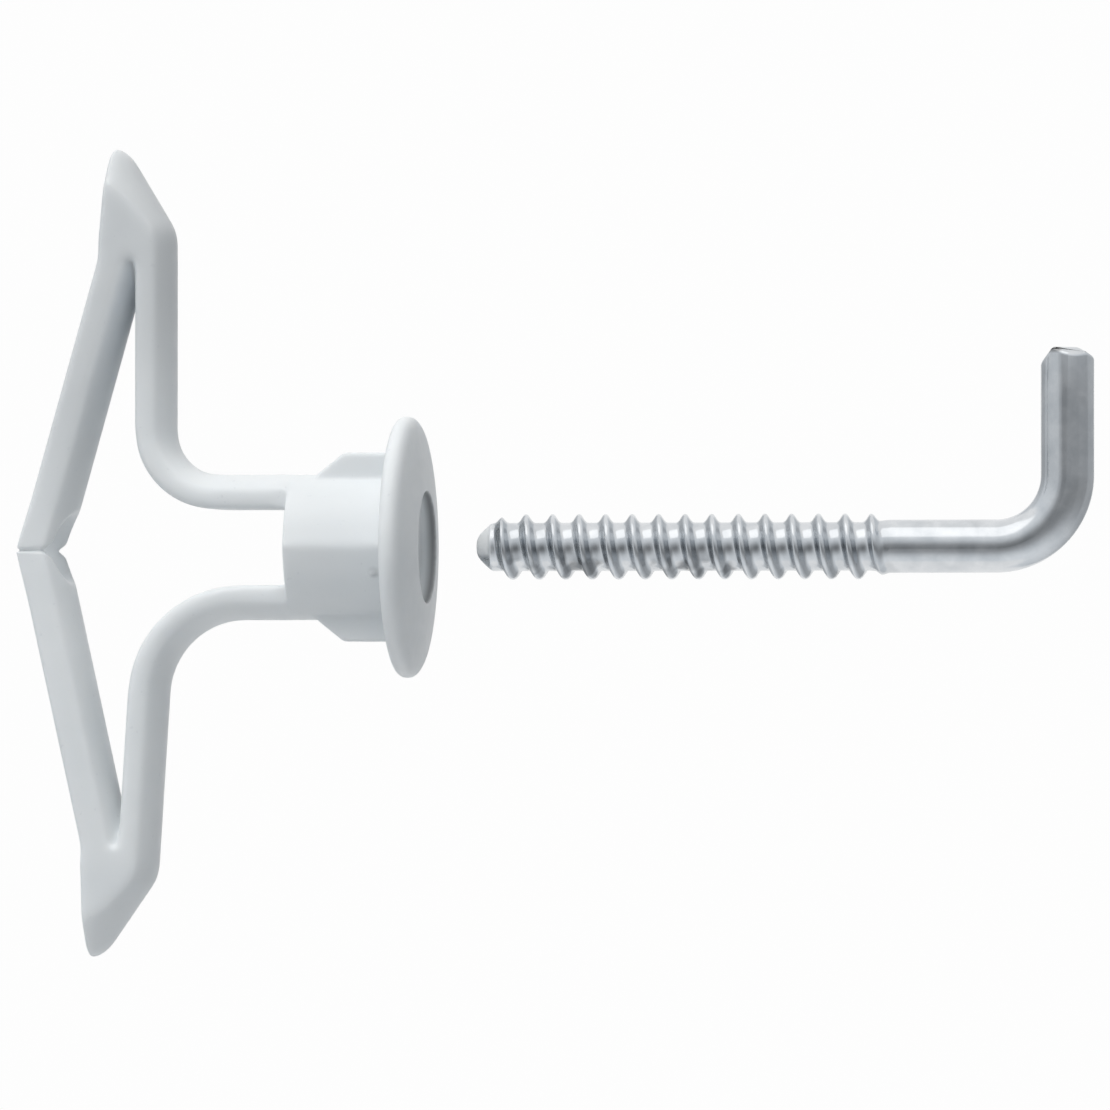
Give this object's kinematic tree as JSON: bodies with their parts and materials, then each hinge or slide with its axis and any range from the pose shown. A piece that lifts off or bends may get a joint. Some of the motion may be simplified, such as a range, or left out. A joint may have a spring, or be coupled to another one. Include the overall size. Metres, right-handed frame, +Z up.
{
  "type": "hollow wall anchor",
  "caption": "Moulded plastic toggle anchor, opened behind its wall by two jointed wings on a film hinge, with a square-bend screw hook drawn out of its domed flange.",
  "frame": {"origin": "centre of the flange's back face, which is the face that rests on the wall", "axes": "+X along the screw, out of the wall towards the room; +Z up, along the hook's upturned arm; +Y across the flat of the opened wings"},
  "size_m": [0.0582, 0.0142, 0.0441],
  "materials": {
    "plastic": "satin off-white moulded plastic",
    "steel": "bright zinc-plated steel"
  },
  "bodies": {
    "anchor": {"toggle_anchor": "plastic"},
    "hook": {"hook_screw": "steel"}
  },
  "joints": [
    {"name": "hook_advance", "type": "slide", "parent": "anchor", "child": "hook", "axis": [1, 0, 0], "range_m": [-0.025, 0]}
  ]
}
